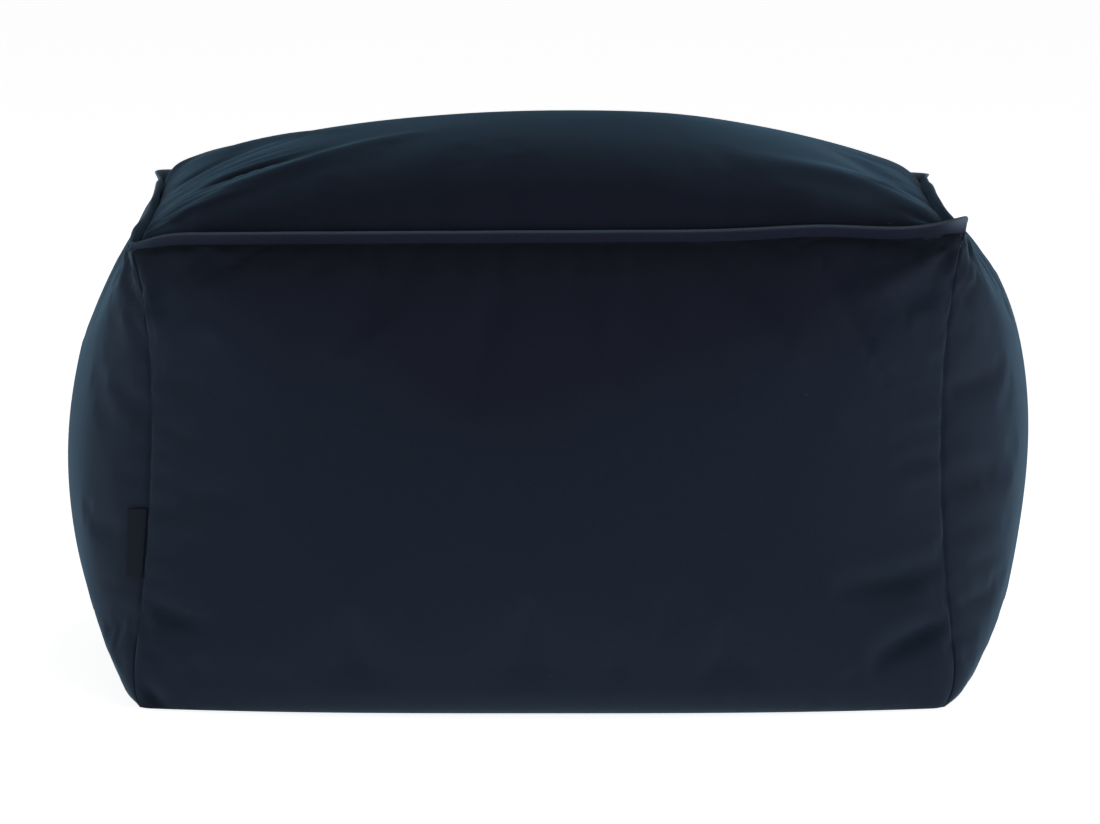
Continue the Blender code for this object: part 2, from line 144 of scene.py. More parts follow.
# Sharper creases and small puckers, in the same order
creases = {
    "top": [
        ((-0.262, -0.119), (-0.235, -0.109), (-0.204, -0.097), 0.0030, -0.0034),
        ((-0.258, -0.130), (-0.232, -0.119), (-0.198, -0.106), 0.0040, 0.0022),
        ((-0.240, -0.140), (-0.215, -0.130), (-0.185, -0.116), 0.0034, -0.0016),
        ((-0.262, -0.104), (-0.232, -0.092), (-0.195, -0.078), 0.0036, 0.0010),
        ((-0.250, -0.094), (-0.222, -0.082), (-0.190, -0.070), 0.0034, -0.0012),
        ((-0.272, -0.088), (-0.244, -0.070), (-0.205, -0.052), 0.0040, -0.0012),
        ((-0.285, -0.078), (-0.262, -0.058), (-0.235, -0.035), 0.0042, -0.0022),
        ((-0.300, -0.178), (-0.275, -0.160), (-0.248, -0.148), 0.0042, -0.0022),
        ((-0.302, -0.196), (-0.270, -0.176), (-0.225, -0.160), 0.0048, 0.0018),
        ((-0.290, -0.150), (-0.270, -0.134), (-0.250, -0.122), 0.0040, 0.0016),
        ((-0.295, -0.029), (-0.284, -0.012), (-0.272, 0.004), 0.0040, -0.0022),
        ((-0.280, -0.060), (-0.240, -0.030), (-0.190, 0.000), 0.0050, -0.0014),
        ((0.296, -0.192), (0.284, -0.191), (0.262, -0.186), 0.0045, -0.0020),
        ((0.285, -0.160), (0.262, -0.150), (0.225, -0.130), 0.0060, -0.0012),
    ],
    "front": [
        ((0.299, 0.107), (0.262, 0.101), (0.218, 0.097), 0.0050, -0.0026),
        ((0.299, 0.067), (0.276, 0.059), (0.248, 0.048), 0.0050, -0.0034),
        ((0.284, 0.096), (0.276, 0.093), (0.266, 0.090), 0.0060, 0.0022),
        ((0.296, 0.236), (0.276, 0.231), (0.248, 0.224), 0.0060, -0.0015),
        ((0.296, 0.212), (0.278, 0.209), (0.256, 0.205), 0.0050, -0.0016),
        ((0.296, 0.191), (0.275, 0.187), (0.250, 0.182), 0.0055, -0.0020),
        ((0.297, 0.168), (0.281, 0.166), (0.262, 0.164), 0.0050, -0.0016),
        ((0.297, 0.150), (0.280, 0.149), (0.256, 0.147), 0.0050, -0.0018),
        ((0.297, 0.133), (0.284, 0.133), (0.270, 0.133), 0.0045, -0.0016),
        ((-0.300, 0.250), (-0.282, 0.247), (-0.258, 0.243), 0.0060, -0.0014),
        ((-0.300, 0.214), (-0.284, 0.209), (-0.262, 0.203), 0.0060, -0.0018),
        ((-0.300, 0.178), (-0.286, 0.174), (-0.268, 0.168), 0.0055, -0.0014),
        ((0.296, 0.084), (0.280, 0.083), (0.260, 0.082), 0.0045, -0.0010),
        ((-0.3034, 0.080), (-0.2865, 0.0745), (-0.264, 0.070), 0.0040, -0.0026),
        ((-0.303, 0.046), (-0.295, 0.043), (-0.287, 0.040), 0.0040, -0.0018),
        ((-0.303, 0.018), (-0.297, 0.009), (-0.290, 0.002), 0.0040, -0.0030),
        ((0.3000, 0.337), (0.293, 0.333), (0.282, 0.326), 0.0055, -0.0050),
        ((0.3000, 0.337), (0.294, 0.342), (0.286, 0.346), 0.0040, -0.0018),
        ((0.2985, 0.325), (0.296, 0.315), (0.294, 0.300), 0.0040, -0.0020),
        ((-0.303, 0.327), (-0.299, 0.315), (-0.2955, 0.304), 0.0045, 0.0024),
        ((-0.307, 0.342), (-0.296, 0.338), (-0.280, 0.335), 0.0050, -0.0016),
    ],
    "right": [
        ((-0.214, 0.347), (-0.207, 0.330), (-0.196, 0.312), 0.0060, 0.0030),
        ((-0.202, 0.346), (-0.194, 0.334), (-0.184, 0.322), 0.0050, -0.0030),
        ((-0.214, 0.322), (-0.206, 0.312), (-0.200, 0.300), 0.0050, -0.0022),
        ((-0.210, 0.163), (-0.190, 0.166), (-0.160, 0.170), 0.0075, -0.0038),
        ((-0.210, 0.134), (-0.190, 0.133), (-0.170, 0.131), 0.0070, -0.0034),
        ((-0.212, 0.104), (-0.190, 0.104), (-0.165, 0.104), 0.0070, -0.0038),
        ((-0.212, 0.077), (-0.190, 0.075), (-0.164, 0.074), 0.0070, -0.0032),
        ((-0.210, 0.236), (-0.190, 0.240), (-0.165, 0.246), 0.0080, -0.0028),
    ],
    "left": [
        ((-0.2180, 0.342), (-0.2150, 0.332), (-0.2110, 0.322), 0.0045, 0.0026),
        ((-0.2120, 0.318), (-0.2085, 0.305), (-0.2110, 0.290), 0.0055, -0.0042),
        ((-0.2000, 0.316), (-0.1950, 0.300), (-0.1940, 0.284), 0.0060, 0.0020),
        ((-0.212, 0.060), (-0.190, 0.058), (-0.170, 0.056), 0.0055, -0.0018),
        ((-0.212, 0.094), (-0.198, 0.090), (-0.182, 0.088), 0.0055, -0.0018),
        ((-0.212, 0.030), (-0.200, 0.034), (-0.185, 0.040), 0.0060, 0.0020),
    ],
    "back": [
        ((0.296, 0.110), (0.265, 0.104), (0.225, 0.100), 0.0050, -0.0020),
        ((-0.300, 0.070), (-0.270, 0.060), (-0.240, 0.052), 0.0050, -0.0020),
        ((-0.306, 0.330), (-0.290, 0.318), (-0.268, 0.306), 0.0050, -0.0022),
        ((0.294, 0.332), (0.280, 0.322), (0.262, 0.310), 0.0050, -0.0022),
    ],
}

# How a fold or crease swells along its length, and dies away across it and near a seam
foldShape = {
    "endShare": 0.35,  # height at its ends, as a share of its middle
    "soft": {"falloff": 2.0, "fade": 0.008},
    "sharp": {"falloff": 1.4, "fade": 0.003},
}

# Gathering along the seams: wave length, its share, and a start in radians
gathers = {
    "waves": [(0.0270, 0.50, 0.4), (0.0178, 0.32, 2.1), (0.0413, 0.45, 4.4), (0.0111, 0.14, 1.2)],
    "height": 0.00100,
    "reach": 0.016,
    "rise": 0.003,  # how soon it starts beside the stitches
    "endFade": 4,  # how late it stops before an upright seam's ends
    "uprightStart": 1.7,  # radians between the seams, so that no two look alike
    "levelStart": 0.9,
    "edgeStart": 2.0,
    "topStart": 2.5,
}

# The rows crowd so that in the CAD's grid the one nearest a seam is as wide as the ledge
rowCrowding = [math.log(body["ledge"] / half) / math.log(2.0 / rows)
               for half, rows in zip(body["halfSizes"], body["cadRows"])]


def column(values):  # one value a row, to set beside x, y and z
    return np.asarray(values, float).reshape(-1, 1)


def uprightSeam(sideX, sideY, t):  # a corner seam from its foot, t = 0, to its top
    top, foot, draw, heel = seamCorners[(sideX, sideY)]
    t = column(t)
    inwards = draw * np.maximum(0.0, np.sin(np.pi * t ** body["drawSkew"])) ** body["drawBluntness"]
    inwards -= heel * t / body["heelPlace"] * np.exp(1.0 - t / body["heelPlace"])
    return np.array(foot) + np.subtract(top, foot) * t - inwards * np.array((sideX, sideY, 0.0))


def cornerLift(place):  # the share of a foot corner's height that is left along the base
    return np.maximum(0.0, (np.abs(place) - 1.0) / body["cornerReach"] + 1.0) ** 3


def puff(place, roundness, steepness):  # 0 on the seams, 1 midway between them
    return np.maximum(0.0, 1.0 - np.abs(place) ** roundness) ** steepness


def wallAxes(axis, side):  # outward direction, and the seams at the wall's two ends
    if axis == "y":
        return np.array((0.0, side, 0.0)), [(-1, side), (1, side)]
    return np.array((side, 0.0, 0.0)), [(side, -1), (side, 1)]


def levelEdge(axis, side, t, level):  # a wall's top edge, level 1, or base edge, level 0
    outward, ends = wallAxes(axis, side)
    _, topBow, baseBow, _, _, _ = wallShapes[(axis, side)]
    first, last = (uprightSeam(*end, np.full(np.shape(t), float(level))) for end in ends)
    bow = puff(2.0 * t - 1.0, body["bowRoundness"], 1.0) * (topBow if level else baseBow)
    points = first + (last - first) * column(t) + column(bow) * outward
    if not level:
        points[:, 2] *= cornerLift(2.0 * t - 1.0)
    return points


def tautPatch(low, high, near, far, a, b):  # the taut cloth inside four edges
    start, end = np.zeros_like(a), np.ones_like(a)
    a1, b1 = column(a), column(b)
    between = ((low(start) * (1 - a1) + low(end) * a1) * (1 - b1)
               + (high(start) * (1 - a1) + high(end) * a1) * b1)
    return low(a) * (1 - b1) + high(a) * b1 + near(b) * (1 - a1) + far(b) * a1 - between


def levelPatch(u, v, level):  # the cloth inside the top seam or the base seam
    front, back, left, right = (partial(levelEdge, axis, side, level=level)
                                for axis, side in (("y", -1), ("y", 1), ("x", -1), ("x", 1)))
    return tautPatch(front, back, left, right, (u + 1) / 2, (v + 1) / 2)


def toLine(places, start, end):  # distance to a straight line, and how far along it
    start, line = np.array(start), np.subtract(end, start)
    along = np.clip((places - start) @ line / (line @ line), 0.0, 1.0)
    return np.linalg.norm(places - start - column(along) * line, axis=1), along


def foldHeight(panel, places, toSeam, sharp):  # soft folds, and creases where sharp
    shape = foldShape["sharp" if sharp else "soft"]
    ends = foldShape["endShare"]
    height = np.zeros(len(places))
    for start, middle, end, reach, rise in (creases if sharp else folds)[panel]:
        first, alongFirst = toLine(places, start, middle)
        second, alongSecond = toLine(places, middle, end)
        along = np.where(first < second, alongFirst / 2, 0.5 + alongSecond / 2)
        swell = ends + (1.0 - ends) * np.sin(np.pi * along)
        spread = np.minimum(first, second) / reach
        height += rise * swell * np.exp(-spread ** shape["falloff"])
    return height * (1.0 - np.exp(-toSeam / shape["fade"]))


def gatherHeight(along, toSeam, start):  # small waves of gathered cloth beside a seam
    wave = sum(share * np.sin(2 * np.pi * along / length + phase + start)
               for length, share, phase in gathers["waves"])
    rising = 1.0 - np.exp(-toSeam / gathers["rise"])
    return gathers["height"] * wave * rising * np.exp(-toSeam / gathers["reach"])


def wallPoints(axis, side, across, w, fine):  # one wall: across from -1 to 1, w from its foot up
    outward, ends = wallAxes(axis, side)
    foot, top = (partial(levelEdge, axis, side, level=level) for level in (0, 1))
    near, far = (partial(uprightSeam, *end) for end in ends)
    points = tautPatch(foot, top, near, far, (across + 1) / 2, (w + 1) / 2)
    halfLength = body["halfSizes"][0 if axis == "y" else 1]
    toUpright = (1 - np.abs(across)) * halfLength
    toLevel = (1 - np.abs(w)) * body["halfSizes"][2]
    bulge, _, _, steepness, peak, roll = wallShapes[(axis, side)]
    acrossRoundness, upRoundness = body["wallRoundness"]
    out = bulge * puff(across, acrossRoundness, body["wallSteepness"])
    out *= puff(w - peak * (1 - w * w), upRoundness, steepness)
    rolled = 1 - np.exp(-toUpright / body["uprightRoll"])
    out += roll * rolled * (1 - np.exp(-toLevel / body["rollWidth"]))
    panel = panelNames[(axis, side)]
    places = points[:, [0, 2]] if axis == "y" else points[:, [1, 2]]
    toSeam = np.minimum(toUpright, toLevel)
    out += foldHeight(panel, places, toSeam, False)
    if fine:
        out += foldHeight(panel, places, toSeam, True)
        start = gathers["uprightStart"] * side + np.sign(across)
        out += gatherHeight(points[:, 2], toUpright, start) * (1 - w ** gathers["endFade"])
        start = gathers["levelStart"] * side + gathers["edgeStart"] * np.sign(w)
        out += gatherHeight(places[:, 0], toLevel, start)
        out -= body["grooveDepth"] * np.exp(-toUpright / body["grooveWidth"])
    return points + column(out) * outward


def topPoints(u, v, fine):  # the crowned top panel, inside its level ledge
    points = levelPatch(u, v, 1)
    halfWidth, halfDepth, _ = body["halfSizes"]
    insideX = np.minimum(1.0, np.abs(u) / (1 - body["ledge"] / halfWidth))
    insideY = np.minimum(1.0, np.abs(v) / (1 - body["ledge"] / halfDepth))
    toLedge = np.minimum((1 - insideX) * halfWidth, (1 - insideY) * halfDepth)
    widthRoundness, depthRoundness = body["crownRoundness"]
    rise = body["crownRise"] * puff(insideX, widthRoundness, body["crownSteepness"])
    rise *= puff(insideY, depthRoundness, body["crownSteepness"])
    rise += foldHeight("top", points[:, :2], toLedge, False)
    if fine:
        rise += foldHeight("top", points[:, :2], toLedge, True)
        alongX = (1 - insideY) * halfDepth < (1 - insideX) * halfWidth
        along = np.where(alongX, points[:, 0], points[:, 1])
        start = np.where(alongX, np.sign(v), gathers["topStart"] * np.sign(u))
        rise += gatherHeight(along, toLedge, start)
    points[:, 2] += rise
    return points


def basePoints(u, v):  # the flat base, lifted only at its corners
    points = levelPatch(u, v, 0)
    foot = np.array([seamCorners[(sx, sy)][1][2]
                     for sx, sy in zip(np.where(u < 0, -1, 1), np.where(v < 0, -1, 1))])
    points[:, 2] = foot * cornerLift(u) * cornerLift(v)
    return points


def pulled(points):  # the whole surface, moved where the sewing pulls it
    moved = points.copy()
    for place, reach, lift in pulls:
        away = np.linalg.norm(points - np.array(place), axis=1) / reach
        moved[:, 2] += lift * np.exp(-away ** 2)
    return moved


def crowded(place, axis):  # rows crowd towards the seams
    even = np.clip(np.abs(place), 0.0, 1.0)
    return np.copysign(1 - (1 - even) ** rowCrowding[axis], place)


def boxLattice(rows):  # welded grid of the six panels: lattice places and quads
    quads = []
    for axis in range(3):
        first, second = [k for k in range(3) if k != axis]
        i, j = np.meshgrid(np.arange(rows[first]), np.arange(rows[second]), indexing="ij")
        for end in (0, rows[axis]):
            corners = []
            for di, dj in ((0, 0), (1, 0), (1, 1), (0, 1)):
                corner = np.empty(i.shape + (3,), int)
                corner[..., first], corner[..., second], corner[..., axis] = i + di, j + dj, end
                corners.append(corner.reshape(-1, 3))
            if (end == 0) != (axis == 1):
                corners.reverse()
            quads.append(np.stack(corners, axis=1))
    quads = np.concatenate(quads)
    places, index = np.unique(quads.reshape(-1, 3), axis=0, return_inverse=True)
    return places, index.reshape(-1, 4)


def bodyPoints(places, rows, fine):  # where the lattice places lie on the stuffed body
    unit = 2.0 * places / np.array(rows) - 1.0
    u, v, w = (crowded(unit[:, axis], axis) for axis in range(3))
    points = np.empty((len(places), 3))
    onTop, onBase = places[:, 2] == rows[2], places[:, 2] == 0
    onWallY = ~onTop & ~onBase & ((places[:, 1] == 0) | (places[:, 1] == rows[1]))
    onWallX = ~onTop & ~onBase & ~onWallY
    points[onTop] = topPoints(u[onTop], v[onTop], fine)
    points[onBase] = basePoints(u[onBase], v[onBase])
    for side in (-1, 1):
        there = onWallY & (np.sign(v) == side)
        points[there] = wallPoints("y", side, u[there], w[there], fine)
        there = onWallX & (np.sign(u) == side)
        points[there] = wallPoints("x", side, v[there], w[there], fine)
    return pulled(points)


def onSeams(places, rows):  # lattice places where two panels meet
    return ((places == 0) | (places == np.array(rows))).sum(axis=1) >= 2


def newMesh(name, points, quads):
    mesh = bpy.data.meshes.new(name)
    mesh.from_pydata(points.tolist(), [], quads.tolist())
    mesh.shade_smooth()
    piece = bpy.data.objects.new(name, mesh)
    bpy.context.scene.collection.objects.link(piece)
    return piece


def addMask(piece, name, values):  # a value per vertex for the materials to read
    mask = piece.data.attributes.new(name, "FLOAT", "POINT")
    mask.data.foreach_set("value", np.asarray(values, np.float32))


# Cloth simulation of the cover: the seams and the base are held, and the stuffing
# presses out against cloth that is cut a little larger than the panels
cover = {
    "frames": 20,
    "pressure": 4.0,
    "ease": 0.020,  # how much larger the cloth is cut
    "mass": 0.35,
    "tension": 25.0,
    "bending": 1.2,
    "quality": 6,  # steps in a frame
    "broadRounds": 40,  # smoothing that takes the broad swelling off the folds
    "cap": 0.006,  # the most that a fold moves the cloth
    "share": 0.8,
    "topShare": 0.25,  # the crown is stuffed too tight to wrinkle
    "calmFoot": 0.020,  # and so is the lowest part of the walls
}


def simulatedMove(places, points, quads):  # how far the stuffing moves the cover
    piece = newMesh("coverForSimulation", points, quads)
    held = onSeams(places, body["simRows"]) | (places[:, 2] == 0)
    group = piece.vertex_groups.new(name="sewn")
    group.add(np.flatnonzero(held).tolist(), 1.0, "REPLACE")
    cloth = piece.modifiers.new("cover", "CLOTH")
    settings = cloth.settings
    settings.vertex_group_mass = "sewn"
    settings.mass = cover["mass"]
    settings.quality = cover["quality"]
    settings.tension_stiffness = settings.compression_stiffness = cover["tension"]
    settings.shear_stiffness = cover["tension"] / 2
    settings.bending_stiffness = cover["bending"]
    settings.use_pressure = True
    settings.uniform_pressure_force = cover["pressure"]
    settings.shrink_min = settings.shrink_max = -cover["ease"]
    settings.effector_weights.gravity = 0.0
    cloth.collision_settings.use_collision = False
    cloth.collision_settings.use_self_collision = False
    cloth.point_cache.frame_start, cloth.point_cache.frame_end = 1, cover["frames"]
    for step in range(1, cover["frames"] + 1):
        bpy.context.scene.frame_set(step)
    evaluated = piece.evaluated_get(bpy.context.evaluated_depsgraph_get())
    ended = np.empty(len(points) * 3)
    evaluated.data.vertices.foreach_get("co", ended)
    bpy.data.objects.remove(piece)
    bpy.context.scene.frame_set(1)
    return ended.reshape(-1, 3) - points


def neighbourMean(values, edges, rounds):  # smooths values over the mesh's edges
    count = column(np.bincount(edges.ravel(), minlength=len(values)))
    for _ in range(rounds):
        total = np.zeros_like(values)
        np.add.at(total, edges[:, 0], values[edges[:, 1]])
        np.add.at(total, edges[:, 1], values[edges[:, 0]])
        values = total / count
    return values


def coverMove(finePlaces):  # the simulation's folds, carried to a grid twice as fine
    rows = body["simRows"]
    places, quads = boxLattice(rows)
    points = bodyPoints(places, rows, False)
    move = simulatedMove(places, points, quads)
    edges = np.concatenate([quads[:, [k, (k + 1) % 4]] for k in range(4)])
    edges = np.unique(np.sort(edges, axis=1), axis=0)
    detail = move - neighbourMean(move, edges, cover["broadRounds"])
    length = np.linalg.norm(move, axis=1)
    size = np.linalg.norm(detail, axis=1, keepdims=True)
    print("simulated cover moved up to %.1f mm, its folds up to %.1f mm"
          % (length.max() * 1e3, size.max() * 1e3))
    onTop = places[:, 2:] == rows[2]
    share = np.where(onTop, cover["topShare"], cover["share"])
    detail *= share * np.minimum(1.0, cover["cap"] / np.maximum(size, 1e-9))
    detail *= np.clip((points[:, 2:] - cover["calmFoot"]) / cover["calmFoot"], 0.0, 1.0)
    detail[onSeams(places, rows)] = 0.0
    idAt = np.full(np.array(rows) + 1, -1)
    idAt[tuple(places.T)] = np.arange(len(places))
    low, high = finePlaces // 2, (finePlaces + 1) // 2
    total = np.zeros((len(finePlaces), 3))
    for pick in np.ndindex(2, 2, 2):
        corner = np.where(np.array(pick), high, low)
        total += detail[idAt[tuple(corner.T)]]
    return total / 8


def pressedPileAndShade(places, rows, points):  # painted shade under the flange, at the foot and in creases, and crushed pile with painted shade on the top: 1 at the darkest, 0 where there is none
    onWall = (places[:, 2] > 0) & (places[:, 2] < rows[2])
    w = crowded(2.0 * places[:, 2] / rows[2] - 1.0, 2)
    # painted shade below the flange
    underFlange = np.exp(-(1 - w) * body["halfSizes"][2] / body["flangeShadeReach"])
    # painted shade just above the floor
    atFoot = np.exp(-points[:, 2] / body["footReach"])
    # painted shade in the creases: how far the fine surface lies inside the soft one
    soft = bodyPoints(places, rows, False)
    outwards = soft - soft.mean(axis=0)
    outwards /= np.linalg.norm(outwards, axis=1, keepdims=True)
    depth = ((soft - points) * outwards).sum(axis=1)
    creased = body["creaseShare"] * np.clip(depth / body["creaseDepth"], 0.0, 1.0)
    # crushed pile with painted shade on a patch of the top
    place, reach, share = body["dulledAndShaded"]
    away = np.linalg.norm(points[:, :2] - np.array(place), axis=1) / reach
    dulledAndShaded = (places[:, 2] == rows[2]) * share * np.exp(-away ** 2)
    return np.maximum.reduce([onWall * underFlange, onWall * atFoot, creased, dulledAndShaded])


def stuffedBody():
    rows = tuple(2 * count for count in body["simRows"])
    places, quads = boxLattice(rows)
    points = bodyPoints(places, rows, True)
    pressedAndShaded = pressedPileAndShade(places, rows, points)
    points += coverMove(places)
    points[:, 2] = np.maximum(points[:, 2], 0.0)
    piece = newMesh("velvetBody", points, quads)
    addMask(piece, "pressedPileAndShade", pressedAndShaded)
    print("body", len(quads), "quads")
    return piece


# The flange: two turned layers of the cover, standing out of the top seam
flange = {
    "height": 0.0094,
    "thickness": 0.0034,
    "lean": math.radians(12.0),
    "steps": (300, 212),  # rows along the width and the depth
    "crowding": 1.25,  # how much they crowd towards the corners
    "waves": [(0.047, 0.00045, 0.3), (0.083, 0.00060, 1.9), (0.029, 0.00020, 3.3)],  # length, height, start
    "sideWaves": 0.12,  # the side runs are pulled straighter
    "turn": 7,  # rows either side that round the free edge at a corner
    "edgeHighlight": 0.28,  # how strong the painted highlight on the free edge is
    "edgeFrom": 0.80,  # and from which share of the height up
    # the outer face: share of the height, and of half the thickness
    "face": [(0.0, 0.74), (0.10, 0.92), (0.25, 1.0), (0.48, 0.92), (0.68, 0.94)],
    "tucked": 0.55,  # the same share at its tucked foot
    "edgeSteps": 9,
    "sink": 0.0020,  # how far it is tucked into the seam
    "proud": 0.0003,  # how far its outer face stands proud of the seam
}

# Corner ears and pulled places: x, y, reach, extra height, extra lean outwards, painted light on the pile
ears = [
    (0.3084, -0.220, 0.012, 0.0040, 0.0012, 0.45),
    (-0.3115, -0.220, 0.016, -0.0050, 0.0008, 0.10),
    (-0.3160, 0.220, 0.030, 0.0010, 0.0036, 0.8),
    (-0.3170, 0.100, 0.090, 0.0000, -0.0010, 0.7),
    (-0.3150, -0.080, 0.080, 0.0000, -0.0010, 0.7),
    (0.3030, 0.220, 0.024, -0.0030, 0.0040, 1.0),
    (0.3030, 0.060, 0.120, 0.0000, 0.0020, 0.5),
]


def flangeRing():  # places and outward directions round the top seam
    points, outwards = [], []
    stepsX, stepsY = flange["steps"]
    for axis, side, steps, backwards in (("y", -1, stepsX, False), ("x", 1, stepsY, False),
                                         ("y", 1, stepsX, True), ("x", -1, stepsY, True)):
        even = 2 * np.arange(steps) / steps - 1
        t = (np.copysign(1 - (1 - np.abs(even)) ** flange["crowding"], even) + 1) / 2
        points.append(levelEdge(axis, side, 1 - t if backwards else t, 1))
        outwards.append(np.tile(wallAxes(axis, side)[0], (steps, 1)))
    points, outwards = np.concatenate(points), np.concatenate(outwards)
    for corner in np.cumsum([0, stepsX, stepsY, stepsX]):
        outwards[corner] = np.sign(points[corner]) * np.array((1.0, 1.0, 0.0))
    return points, outwards


def flangeProfile():  # places across the flange: how far up, and how far outwards
    high, half = flange["height"], flange["thickness"] / 2
    outer = [(-flange["sink"], flange["tucked"] * half)]
    outer += [(share * high, offset * half) for share, offset in flange["face"]]
    edge = [(high - half + half * math.sin(turn), half * math.cos(turn))
            for turn in np.linspace(0.0, math.pi, flange["edgeSteps"])]
    return outer + edge + [(up, -across) for up, across in reversed(outer)]


def topSeamFlange():
    points, outwards = flangeRing()
    half = flange["thickness"] / 2
    root = pulled(points - outwards * (half - flange["proud"]))
    steps = len(points)
    along = np.concatenate([[0.0], np.cumsum(np.linalg.norm(np.diff(points, axis=0), axis=1))])
    wave = sum(height * np.sin(2 * np.pi * along / length + start)
               for length, height, start in flange["waves"])
    wave *= np.where(np.abs(outwards[:, 0]) > 0.5, flange["sideWaves"], 1.0)
    taller, paintedLight = np.zeros(steps), np.zeros(steps)
    for x, y, reach, rise, flare, lightShare in ears:
        near = np.exp(-(np.hypot(points[:, 0] - x, points[:, 1] - y) / reach) ** 2)
        taller += rise * near
        wave += flare * near
        paintedLight = np.maximum(paintedLight, lightShare * near)
    stretch = column(1 + taller / flange["height"])
    lean, high = flange["lean"], flange["height"]
    profile = flangeProfile()
    edgeFrom, reach = flange["edgeFrom"], flange["turn"]
    rings, highlighted = [], []
    for up, across in profile:
        share = min(1.0, max(0.0, up / high))
        outwardMove = math.sin(lean) * up * stretch + math.cos(lean) * across + share * column(wave)
        place = root + outwards * outwardMove
        place[:, 2:] += math.cos(lean) * up * stretch - math.sin(lean) * across
        near = [np.roll(place, shift, axis=0) for shift in range(-reach, reach + 1)]
        rings.append(place + (sum(near) / len(near) - place) * math.sqrt(share))
        # painted highlight along the free edge, and painted light at the ears
        edge = flange["edgeHighlight"] * max(0.0, (share - edgeFrom) / (1.0 - edgeFrom))
        highlighted.append(np.maximum(edge, paintedLight * share))
    count = len(profile)
    i, j = np.meshgrid(np.arange(steps), np.arange(count), indexing="ij")
    nextI, nextJ = (i + 1) % steps, (j + 1) % count
    corners = [i * count + j, nextI * count + j, nextI * count + nextJ, i * count + nextJ]
    quads = np.stack(corners, axis=-1).reshape(-1, 4)
    piece = newMesh("turnedFlange", np.stack(rings, axis=1).reshape(-1, 3), quads)
    addMask(piece, "flangeHighlight", np.stack(highlighted, axis=1).ravel())
    print("flange", steps * count, "quads")
    return piece


# The label: a bare satin tape folded in two, sewn into the left front seam
label = {
    "height": 0.052,
    "width": 0.0063,
    "middle": 0.124,
    "gap": 0.0010,
    "leaf": 0.0006,  # one leaf of the folded tape
    "lift": 0.0012,  # how far its free side stands off the panel
    "ripple": (0.3, 5.0),  # share of the lift, and radians over its height
    "facing": (-1.0, -0.25, 0.0),
    "steps": (14, 40),
}


def sideLabel():
    columns, rows = label["steps"]
    out = np.repeat(np.linspace(0, 1, columns + 1), rows + 1)
    up = np.tile(np.linspace(-0.5, 0.5, rows + 1), columns + 1)
    halfDepth, halfHeight = body["halfSizes"][1:]
    height = label["middle"] + up * label["height"]
    across = label["width"] * out / halfDepth - 1
    surface = wallPoints("x", -1, across, height / halfHeight - 1, False)
    facing = np.array(label["facing"]) / math.hypot(*label["facing"])
    rippleShare, rippleTurns = label["ripple"]
    curl = label["gap"] + label["lift"] * out ** 2 * (1 + rippleShare * np.sin(rippleTurns * up))
    outer = surface + column(curl + label["leaf"]) * facing
    inner = surface + column(curl) * facing
    ids = np.arange(2 * len(out)).reshape(2, columns + 1, rows + 1)
    leaves = [np.stack([leaf[:-1, :-1], leaf[:-1, 1:], leaf[1:, 1:], leaf[1:, :-1]], axis=-1)
              for leaf in ids]
    border = [(k, 0) for k in range(columns)] + [(columns, k) for k in range(rows)]
    border += [(k, rows) for k in range(columns, 0, -1)] + [(0, k) for k in range(rows, 0, -1)]
    rim = [[ids[0][here], ids[0][ahead], ids[1][ahead], ids[1][here]]
           for here, ahead in zip(border, border[1:] + border[:1])]
    outerQuads, innerQuads = (leaf.reshape(-1, 4) for leaf in leaves)
    quads = np.concatenate([outerQuads, innerQuads[:, ::-1], np.array(rim)])
    return newMesh("bareLabel", np.concatenate([outer, inner]), quads)


def linear(hexColour):  # an sRGB hex colour in linear values, fully opaque
    values = [int(hexColour[k:k + 2], 16) / 255 for k in (1, 3, 5)]
    return (*(v / 12.92 if v <= 0.04045 else ((v + 0.055) / 1.055) ** 2.4 for v in values), 1.0)


def addNode(tree, kind, settings=None, links=None, **options):
    node = tree.nodes.new(kind)
    for option, value in options.items():
        setattr(node, option, value)
    for name, value in (settings or {}).items():
        node.inputs[name].default_value = value
    for name, source in (links or {}).items():
        tree.links.new(source, node.inputs[name])
    return node


def newMaterial(name):
    material = bpy.data.materials.new(name)
    material.use_nodes = True
    tree = material.node_tree
    tree.nodes.clear()
    return material, tree


# Cut pile polyester velvet, woven and sheared: almost black face on, with a cool
# bloom where the pile is seen from the side and faint clouds where it was stroked;
# painted shade above an arch between the top corners with painted light below it,
# painted shade under the flange, at the foot, in creases and on a crushed patch of
# the top, and a painted highlight on the flange's free edge and ears
velvet = {
    # deep is the pile's dark tone and also the painted shade above the arch; brushed is its lighter tone
    # and also the painted light below it
    "deep": "#191c2b",
    "brushedAndLit": "#18212e",
    # the darkest pile: painted shade, and crushed pile on the top
    "pressedAndShaded": "#0d1118",
    # the colour of the painted highlight on the flange
    "highlighted": "#7d8c9e",
    "sheenTint": "#98d6ff",
    "sheen": 0.24,
    "sheenRoughness": 0.35,
    "roughness": 0.9,
    "specular": 0.10,
    "cloudSize": 0.110,  # metres across a stroked patch
    "cloudDetail": 3.0,
    "cloudRoughness": 0.5,
    "cloudDistortion": 0.3,
    "cloudShare": 0.55,
    "archRise": 1.35,  # painted shade above an arch between the top corners, painted light below it: its curve, and where it fades
    "archTop": 0.285,
    "archFoot": 0.165,
    "archShare": 0.60,
    "strokedAndShadedRange": (0.30, 0.75),  # from deep pile and painted shade to brushed pile and painted light
    "pileSize": 0.0011,  # tufts are 0.3 mm; drawn as coarse as shows in the render
    "pileDetail": 2.0,
    "pileRoughness": 0.6,
    "pileDepth": 0.00030,
    "pileBump": 0.6,
    "tuftRange": (0.3, 0.7),
    "tuftShade": (0.88, 1.10),
    "lint": "#4a5260",
    "lintSpacing": 0.032,
    "lintSize": 0.0006,
    "lintGaps": 0.70,  # share of the places that have no speck
}


